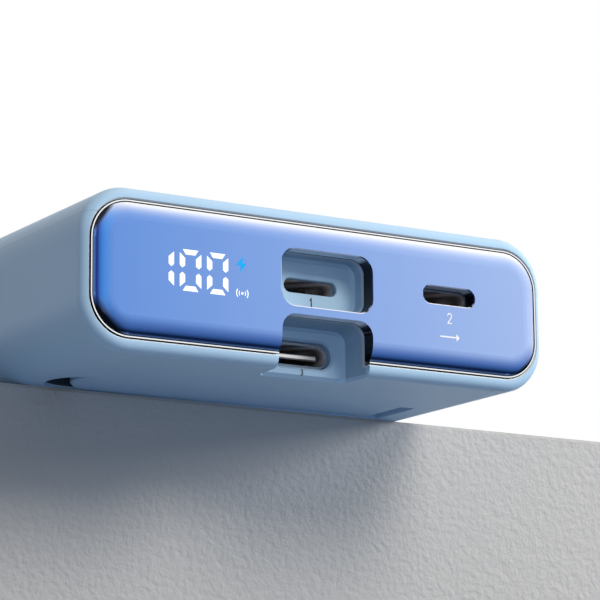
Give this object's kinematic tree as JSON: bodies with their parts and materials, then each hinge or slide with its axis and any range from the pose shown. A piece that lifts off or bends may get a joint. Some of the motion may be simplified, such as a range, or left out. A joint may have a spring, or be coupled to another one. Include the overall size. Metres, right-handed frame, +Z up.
{
  "type": "power bank",
  "caption": "Flat pocket power bank with a glossy display plate, recessed sockets, a side button, a magnetic charging face and a fold-out stand leg.",
  "frame": {"origin": "middle of the underside: halfway across the width and along the length, on the face it rests on", "axes": "+X across the width, to the right as seen from the display plate; +Y from the display plate to the rear; +Z up, from the resting face to the charging face"},
  "size_m": [0.0683, 0.106, 0.0204],
  "materials": {
    "shell": "satin moulded polycarbonate, light slate blue",
    "fascia": "clear acrylic plate, back-coated with a metallic blue fade",
    "trim": "polished and plated thin trim",
    "stand": "die-cast leg, painted to match the shell",
    "button": "satin moulded cap",
    "adhesive": "double-sided foam tape",
    "light_parts": "white moulded reflector and diffusing film",
    "led": "clear-topped light-emitting chip",
    "board": "glass-fibre board with green solder mask",
    "socket_metal": "drawn stainless receptacle shell, dark plated",
    "insulator": "black glass-filled moulding",
    "steel": "plain steel",
    "bush": "natural acetal",
    "component": "black moulded package",
    "can": "bare aluminium can",
    "cell": "aluminium laminate pouch",
    "foam": "soft foam",
    "nickel": "nickel strip",
    "copper": "enamelled copper wire",
    "ferrite": "sintered ferrite sheet",
    "magnet": "nickel-plated magnet"
  },
  "bodies": {
    "housing": {"main_housing": "shell", "top_cover": "shell", "fascia": "fascia", "fascia_trim_ring": "trim", "fascia_adhesive": "adhesive", "display_diffuser": "light_parts", "display_reflector": "light_parts", "display_board": "board", "display_leds": "led", "main_board": "board", "lower_board": "board", "board_link": "insulator", "board_screws": "steel", "power_inductors": "component", "controller_chips": "component", "capacitors": "can", "upper_socket_shell": "socket_metal", "upper_socket_insulator": "insulator", "side_socket_shell": "socket_metal", "side_socket_insulator": "insulator", "usb_c_shell": "socket_metal", "usb_c_tongue": "insulator", "button_switch": "component", "battery_cell_lower": "cell", "battery_cell_upper": "cell", "cell_glue_pad": "foam", "cell_foam_pad": "foam", "coil_foam_pad": "foam", "cell_tabs": "nickel", "charging_coil": "copper", "ferrite_sheet": "ferrite", "magnet_ring": "magnet", "shield_ring": "steel", "key_magnet": "magnet", "stand_bushes": "bush"},
    "stand": {"stand_leg": "stand", "stand_pin": "steel"},
    "button": {"power_button": "button", "switch_plunger": "component"}
  },
  "joints": [
    {"name": "stand_hinge", "type": "hinge", "parent": "housing", "child": "stand", "pos_m": [0.0219, -0.0301, 0.0016], "axis": [0, -1, 0], "range_deg": [0, 90]},
    {"name": "button_press", "type": "slide", "parent": "housing", "child": "button", "axis": [-1, 0, 0], "range_m": [0, 0.0004], "stiffness_N_per_m": 1500}
  ]
}
